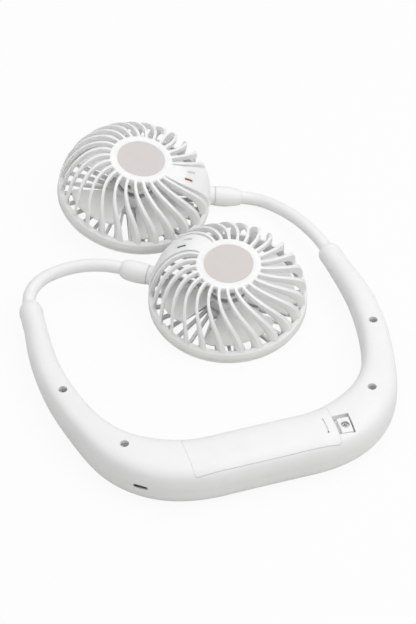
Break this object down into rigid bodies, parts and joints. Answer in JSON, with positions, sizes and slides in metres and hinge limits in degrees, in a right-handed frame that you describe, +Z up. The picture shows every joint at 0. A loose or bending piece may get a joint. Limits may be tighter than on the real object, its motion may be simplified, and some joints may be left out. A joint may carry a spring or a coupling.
{
  "type": "neck-worn fan",
  "caption": "U-shaped neckband with a battery bay, bendable necks at its arm ends and a caged round fan head on each neck.",
  "frame": {"origin": "on the flat rest face under the middle of the neckband's back", "axes": "+Z up from the ground on which the object lies, +Y from the neckband's back along its arms to the fans, +X across the arms to the right"},
  "size_m": [0.1769, 0.2529, 0.0399],
  "materials": {
    "shell_white": "fine satin moulded",
    "cage_white": "fine satin moulded",
    "soft_white": "smooth silicone",
    "fan_white": "satin moulded",
    "inner_grey": "satin moulded",
    "label_grey": "smooth printed film",
    "lens_green": "clear moulded",
    "lens_red": "clear moulded",
    "lens_clear": "clear moulded",
    "steel": "plated",
    "cell_can": "shrink wrapped can",
    "board_green": "solder mask",
    "switch_dark": "moulded"
  },
  "bodies": {
    "neckband": {"rear_shell": "shell_white", "front_shell": "shell_white", "shell_screws": "steel", "battery_cell": "cell_can", "positive_contact": "steel", "negative_contact": "steel", "control_board": "board_green", "usb_socket": "steel", "switch_board": "board_green", "tact_switch": "switch_dark", "left_collar": "soft_white", "left_neck_anchor": "inner_grey", "left_neck_core_0": "steel", "left_neck_sleeve_0": "soft_white", "right_collar": "soft_white", "right_neck_anchor": "inner_grey", "right_neck_core_0": "steel", "right_neck_sleeve_0": "soft_white"},
    "battery_door": {"battery_door": "shell_white", "door_screw": "steel"},
    "power_button": {"power_button": "shell_white"},
    "left_neck_lower": {"left_neck_core_1": "steel", "left_neck_sleeve_1": "soft_white"},
    "left_neck_middle": {"left_neck_core_2": "steel", "left_neck_sleeve_2": "soft_white"},
    "left_neck_upper": {"left_neck_core_3": "steel", "left_neck_sleeve_3": "soft_white", "left_boot": "soft_white"},
    "left_head": {"left_rear_cage": "cage_white", "left_front_grille": "cage_white", "left_motor_holder": "inner_grey", "left_motor": "steel", "left_hub_label": "label_grey", "left_indicator_lens_a": "lens_green", "left_indicator_lens_b": "lens_clear", "left_light_board": "board_green"},
    "left_fan": {"left_impeller": "fan_white", "left_motor_shaft": "steel"},
    "right_neck_lower": {"right_neck_core_1": "steel", "right_neck_sleeve_1": "soft_white"},
    "right_neck_middle": {"right_neck_core_2": "steel", "right_neck_sleeve_2": "soft_white"},
    "right_neck_upper": {"right_neck_core_3": "steel", "right_neck_sleeve_3": "soft_white", "right_boot": "soft_white"},
    "right_head": {"right_rear_cage": "cage_white", "right_front_grille": "cage_white", "right_motor_holder": "inner_grey", "right_motor": "steel", "right_hub_label": "label_grey", "right_indicator_lens_a": "lens_clear", "right_indicator_lens_b": "lens_red", "right_light_board": "board_green"},
    "right_fan": {"right_impeller": "fan_white", "right_motor_shaft": "steel"}
  },
  "joints": [
    {"name": "door_hinge", "type": "hinge", "parent": "neckband", "child": "battery_door", "pos_m": [-0.0362, 0, 0.0221], "axis": [0, -1, 0], "range_deg": [0, 70]},
    {"name": "button_press", "type": "slide", "parent": "neckband", "child": "power_button", "axis": [-0.9998, 0.0201, 0], "range_m": [0, 0.0005], "stiffness_N_per_m": 400},
    {"name": "left_bend_a", "type": "hinge", "parent": "neckband", "child": "left_neck_lower", "pos_m": [-0.07363, 0.14298, 0.01119], "axis": [0, 0, 1], "range_deg": [-20, 0]},
    {"name": "left_lift", "type": "hinge", "parent": "left_neck_lower", "child": "left_neck_middle", "pos_m": [-0.05561, 0.151, 0.01284], "axis": [0.0674, -0.9977, 0], "range_deg": [0, 35]},
    {"name": "left_bend_b", "type": "hinge", "parent": "left_neck_middle", "child": "left_neck_upper", "pos_m": [-0.03557, 0.14786, 0.01351], "axis": [0, 0, 1], "range_deg": [-20, 0]},
    {"name": "left_head_twist", "type": "hinge", "parent": "left_neck_upper", "child": "left_head", "pos_m": [-0.01317, 0.13377, 0.01245], "axis": [0.8204, -0.5698, -0.048], "range_deg": [-90, 90]},
    {"name": "left_fan_spin", "type": "hinge", "parent": "left_head", "child": "left_fan", "pos_m": [0.01971, 0.11126, 0.00825], "axis": [-0.0269, -0.1224, 0.9921], "continuous": true},
    {"name": "right_bend_a", "type": "hinge", "parent": "neckband", "child": "right_neck_lower", "pos_m": [0.07645, 0.13838, 0.0106], "axis": [0, 0, 1], "range_deg": [-30, 0]},
    {"name": "right_lift", "type": "hinge", "parent": "right_neck_lower", "child": "right_neck_middle", "pos_m": [0.07036, 0.15984, 0.00836], "axis": [0.9352, 0.3541, 0], "range_deg": [0, 35]},
    {"name": "right_bend_b", "type": "hinge", "parent": "right_neck_middle", "child": "right_neck_upper", "pos_m": [0.06056, 0.17953, 0.00415], "axis": [0, 0, 1], "range_deg": [-30, 0]},
    {"name": "right_head_twist", "type": "hinge", "parent": "right_neck_upper", "child": "right_head", "pos_m": [0.03551, 0.18914, 0.00658], "axis": [-0.9616, 0.2299, 0.1497], "range_deg": [-90, 90]},
    {"name": "right_fan_spin", "type": "hinge", "parent": "right_head", "child": "right_fan", "pos_m": [-0.00324, 0.19864, 0.0103], "axis": [0.1219, -0.1308, 0.9839], "continuous": true}
  ],
  "couplings": [
    {"joint": "left_bend_b", "follows": "left_bend_a", "ratio": 1},
    {"joint": "right_bend_b", "follows": "right_bend_a", "ratio": 1}
  ]
}
